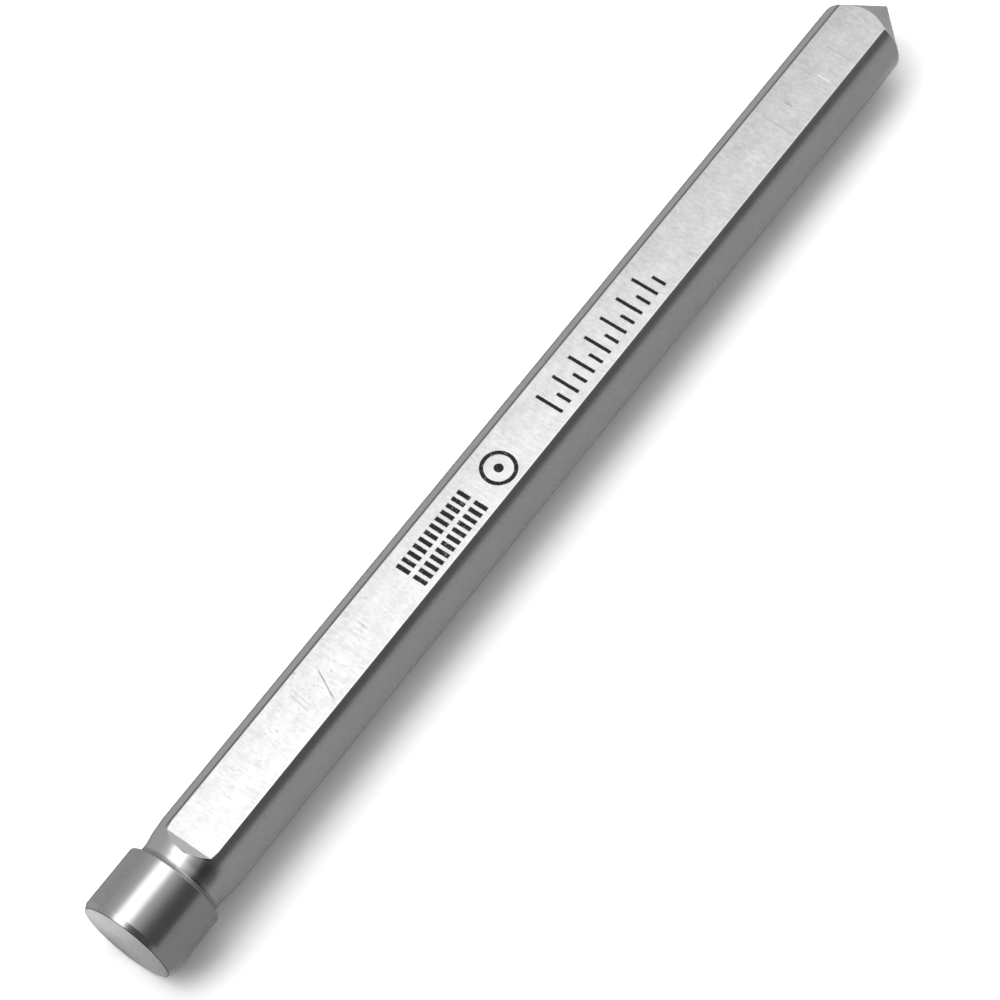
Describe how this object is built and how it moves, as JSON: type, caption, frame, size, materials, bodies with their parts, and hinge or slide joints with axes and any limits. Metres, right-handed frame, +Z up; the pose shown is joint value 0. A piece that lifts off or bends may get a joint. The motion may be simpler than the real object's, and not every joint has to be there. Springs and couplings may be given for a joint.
{
  "type": "pilot pin",
  "caption": "Centring pilot pin for an annular cutter: slim ground steel bar with a long flat, a cone point, a collar head and a short neck behind the head.",
  "frame": {"origin": "under the middle of the bar's length, on the plane that the head's side rests on when the pin lies with its flat up", "axes": "+X along the bar towards the cone point, +Z up out of the ground flat"},
  "size_m": [0.108, 0.0088, 0.0088],
  "materials": {
    "ground_steel": "hardened tool steel, ground and lightly polished; fine lines across the flat, black laser tick marks"
  },
  "bodies": {
    "root": {"pilot_pin": "ground_steel"}
  },
  "joints": []
}
